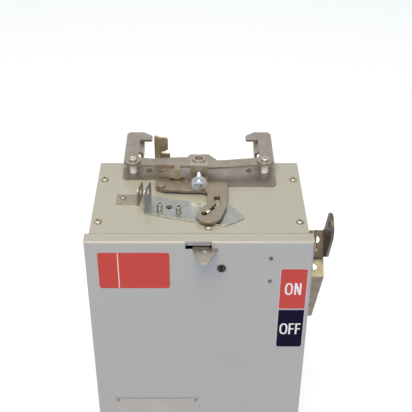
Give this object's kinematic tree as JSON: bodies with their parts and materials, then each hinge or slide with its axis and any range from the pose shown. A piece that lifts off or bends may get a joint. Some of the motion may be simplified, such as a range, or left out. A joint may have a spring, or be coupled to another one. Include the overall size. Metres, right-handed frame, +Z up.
{
  "type": "busway tap off box",
  "caption": "Tall sheet steel busway tap off box with a hinged front cover, side switch handle, fused switch inside, and clamping jaws and interlock on top.",
  "frame": {"origin": "centre of the enclosure's bottom face", "axes": "+Z up towards the clamp end, -Y out of the front cover, +X towards the switch handle"},
  "size_m": [0.231, 0.2008, 0.4108],
  "materials": {
    "enclosure_paint": "semi-gloss light grey enamel on sheet steel",
    "cover_paint": "semi-gloss light grey enamel on sheet steel, the same coat as the box",
    "zinc_steel": "zinc plated steel, slightly yellow",
    "galvanised": "bright galvanised sheet steel",
    "bright_screw": "bright zinc screws",
    "dark_screw": "black oxide steel",
    "nylon": "white nylon",
    "bronze": "tinned and darkened bronze strip",
    "copper": "bare copper bar",
    "brass_part": "plain brass",
    "black_moulding": "black thermoset moulding",
    "brown_moulding": "brown thermoset moulding",
    "fish_paper": "pressed insulating sheet",
    "clear_sheet": "clear polycarbonate sheet",
    "fuse_body": "brown fuse tube with plated ends",
    "tinned_lug": "tinned aluminium",
    "label_red": "red vinyl label",
    "label_dark": "near-black vinyl label",
    "plate_silver": "blank satin aluminium foil plate"
  },
  "bodies": {
    "enclosure": {"enclosure_back": "enclosure_paint", "left_wall": "enclosure_paint", "right_wall": "enclosure_paint", "enclosure_bottom": "enclosure_paint", "front_rail": "enclosure_paint", "top_plate": "enclosure_paint", "top_screws": "bright_screw", "clamp_base_plate": "zinc_steel", "mechanism_screws": "dark_screw", "jaw_spacers": "nylon", "jaw_washers": "zinc_steel", "jaw_pivot_screws": "bright_screw", "screw_fork": "zinc_steel", "interlock_plate": "galvanised", "interlock_posts": "bright_screw", "interlock_guide_pin": "bright_screw", "interlock_pivot_pin": "zinc_steel", "seal_bracket": "galvanised", "ground_stab": "bronze", "shaft_bushing": "brass_part", "shaft_bracket": "galvanised", "switch_base": "black_moulding", "contact_jaws": "copper", "line_straps": "copper", "load_straps": "copper", "stab_insulator": "black_moulding", "phase_stabs": "copper", "phase_barriers": "fish_paper", "line_shield": "clear_sheet", "fuse_base": "brown_moulding", "fuse_clips": "brass_part", "fuses": "fuse_body", "load_lugs": "tinned_lug", "ground_bar": "tinned_lug", "terminal_screws": "dark_screw", "hinge_knuckles": "enclosure_paint", "hinge_pins": "bright_screw", "clamp_washer": "bright_screw"},
    "cover": {"front_cover": "cover_paint", "cover_hinge_leaves": "enclosure_paint", "cover_angle": "galvanised", "cover_rivets": "dark_screw", "catch_guide": "galvanised", "nameplate": "plate_silver", "hazard_label": "label_red", "on_label": "label_red", "off_label": "label_dark"},
    "cover_catch": {"cover_catch": "galvanised"},
    "cover_screw": {"cover_screw": "dark_screw"},
    "handle": {"handle_lever": "zinc_steel", "handle_grip": "zinc_steel", "handle_rivets": "zinc_steel", "switch_shaft": "galvanised", "rotor_hubs": "black_moulding", "switch_blades": "copper"},
    "left_jaw": {"left_jaw": "zinc_steel"},
    "right_jaw": {"right_jaw": "zinc_steel"},
    "draw_bracket": {"draw_bracket": "zinc_steel"},
    "clamp_screw": {"clamp_screw": "bright_screw"},
    "interlock_lever": {"interlock_lever": "zinc_steel"}
  },
  "joints": [
    {"name": "cover_swing", "type": "hinge", "parent": "enclosure", "child": "cover", "pos_m": [0, -0.0708, 0.005], "axis": [1, 0, 0], "range_deg": [0, 90]},
    {"name": "cover_screw_turn", "type": "hinge", "parent": "cover", "child": "cover_screw", "pos_m": [0.0214, -0.0705, 0.3492], "axis": [0, 1, 0], "continuous": true},
    {"name": "catch_slide", "type": "slide", "parent": "cover", "child": "cover_catch", "axis": [-1, 0, 0], "range_m": [0, 0.006]},
    {"name": "handle_swing", "type": "hinge", "parent": "enclosure", "child": "handle", "pos_m": [0.1095, 0, 0.297], "axis": [1, 0, 0], "range_deg": [0, 90]},
    {"name": "jaw_draw", "type": "slide", "parent": "enclosure", "child": "draw_bracket", "axis": [0, -0.9759, 0.2181], "range_m": [0, 0.0055]},
    {"name": "left_jaw_swing", "type": "hinge", "parent": "enclosure", "child": "left_jaw", "pos_m": [-0.068, 0.048, 0.394], "axis": [0, 0, -1], "range_deg": [0, 4.55]},
    {"name": "right_jaw_swing", "type": "hinge", "parent": "enclosure", "child": "right_jaw", "pos_m": [0.068, 0.048, 0.394], "axis": [0, 0, 1], "range_deg": [0, 4.55]},
    {"name": "interlock_swing", "type": "hinge", "parent": "enclosure", "child": "interlock_lever", "pos_m": [-0.038, 0.0155, 0.3845], "axis": [0, 0, -1], "range_deg": [0, 13.05]},
    {"name": "clamp_screw_turn", "type": "hinge", "parent": "enclosure", "child": "clamp_screw", "pos_m": [0, 0.007, 0.394], "axis": [0, 0.9759, -0.2181], "continuous": true}
  ],
  "couplings": [
    {"joint": "left_jaw_swing", "follows": "jaw_draw", "rad_per_m": 14.277},
    {"joint": "right_jaw_swing", "follows": "jaw_draw", "rad_per_m": 14.277},
    {"joint": "interlock_swing", "follows": "jaw_draw", "rad_per_m": 41.253}
  ]
}
